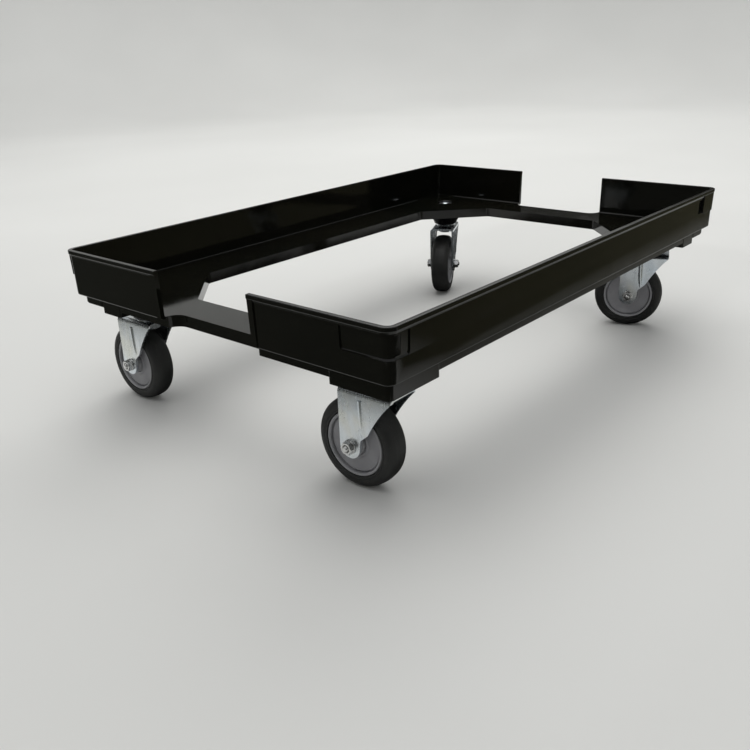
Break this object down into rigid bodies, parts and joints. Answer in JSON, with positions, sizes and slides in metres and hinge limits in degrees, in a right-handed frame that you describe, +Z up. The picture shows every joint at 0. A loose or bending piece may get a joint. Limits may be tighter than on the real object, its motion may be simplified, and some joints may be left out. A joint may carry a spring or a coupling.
{
  "type": "crate dolly",
  "caption": "Open-frame plastic crate dolly: a low-walled tray with a large central opening and gapped end walls, rolling on swivel casters with pressed-steel forks.",
  "frame": {"origin": "centre of the footprint on the floor, below the middle of the tray and its trailing left wheel", "axes": "+X along the tray's long side, +Y along the short side, +Z up"},
  "size_m": [0.61, 0.422, 0.1655],
  "materials": {
    "black_plastic": "glossy injection-moulded black plastic",
    "zinc_plate": "bright zinc-plated pressed steel",
    "bearing_steel": "bright machined steel",
    "black_steel": "black phosphated steel",
    "grey_tyre": "dark grey thermoplastic rubber, satin",
    "hub_plastic": "mid-grey moulded plastic, satin",
    "cover_plastic": "grey moulded plastic cover, satin"
  },
  "bodies": {
    "tray": {"tray": "black_plastic", "front_head_cup": "black_steel", "front_ball_ring": "bearing_steel", "front_kingpin": "zinc_plate", "front_king_bolt": "zinc_plate", "front_deck_nut": "black_steel", "left_head_cup": "black_steel", "left_ball_ring": "bearing_steel", "left_kingpin": "zinc_plate", "left_king_bolt": "zinc_plate", "left_deck_nut": "black_steel", "right_head_cup": "black_steel", "right_ball_ring": "bearing_steel", "right_kingpin": "zinc_plate", "right_king_bolt": "zinc_plate", "right_deck_nut": "black_steel", "back_head_cup": "black_steel", "back_ball_ring": "bearing_steel", "back_kingpin": "zinc_plate", "back_king_bolt": "zinc_plate", "back_deck_nut": "black_steel"},
    "caster_front": {"front_fork": "zinc_plate", "front_axle_bolt": "bearing_steel", "front_axle_nut": "bearing_steel", "front_axle_sleeve": "bearing_steel"},
    "wheel_front": {"front_tyre": "grey_tyre", "front_hub": "hub_plastic", "front_hub_cover_outer": "cover_plastic", "front_hub_cover_inner": "cover_plastic"},
    "caster_left": {"left_fork": "zinc_plate", "left_axle_bolt": "bearing_steel", "left_axle_nut": "bearing_steel", "left_axle_sleeve": "bearing_steel"},
    "wheel_left": {"left_tyre": "grey_tyre", "left_hub": "hub_plastic", "left_hub_cover_outer": "cover_plastic", "left_hub_cover_inner": "cover_plastic"},
    "caster_right": {"right_fork": "zinc_plate", "right_axle_bolt": "bearing_steel", "right_axle_nut": "bearing_steel", "right_axle_sleeve": "bearing_steel"},
    "wheel_right": {"right_tyre": "grey_tyre", "right_hub": "hub_plastic", "right_hub_cover_outer": "cover_plastic", "right_hub_cover_inner": "cover_plastic"},
    "caster_back": {"back_fork": "zinc_plate", "back_axle_bolt": "bearing_steel", "back_axle_nut": "bearing_steel", "back_axle_sleeve": "bearing_steel"},
    "wheel_back": {"back_tyre": "grey_tyre", "back_hub": "hub_plastic", "back_hub_cover_outer": "cover_plastic", "back_hub_cover_inner": "cover_plastic"}
  },
  "joints": [
    {"name": "front_swivel", "type": "hinge", "parent": "tray", "child": "caster_front", "pos_m": [-0.2535, -0.1595, 0.095], "axis": [0, 0, 1], "continuous": true},
    {"name": "front_wheel_spin", "type": "hinge", "parent": "caster_front", "child": "wheel_front", "pos_m": [-0.25432, -0.13601, 0.04], "axis": [-0.9994, -0.0349, 0], "continuous": true},
    {"name": "left_swivel", "type": "hinge", "parent": "tray", "child": "caster_left", "pos_m": [-0.2535, 0.1475, 0.095], "axis": [0, 0, 1], "continuous": true},
    {"name": "left_wheel_spin", "type": "hinge", "parent": "caster_left", "child": "wheel_left", "pos_m": [-0.2535, 0.171, 0.04], "axis": [-1, 0, 0], "continuous": true},
    {"name": "right_swivel", "type": "hinge", "parent": "tray", "child": "caster_right", "pos_m": [0.2535, -0.1595, 0.095], "axis": [0, 0, 1], "continuous": true},
    {"name": "right_wheel_spin", "type": "hinge", "parent": "caster_right", "child": "wheel_right", "pos_m": [0.2447, -0.13771, 0.04], "axis": [-0.9272, -0.3746, 0], "continuous": true},
    {"name": "back_swivel", "type": "hinge", "parent": "tray", "child": "caster_back", "pos_m": [0.2535, 0.1475, 0.095], "axis": [0, 0, 1], "continuous": true},
    {"name": "back_wheel_spin", "type": "hinge", "parent": "caster_back", "child": "wheel_back", "pos_m": [0.23256, 0.13683, 0.04], "axis": [0.454, -0.891, 0], "continuous": true}
  ]
}
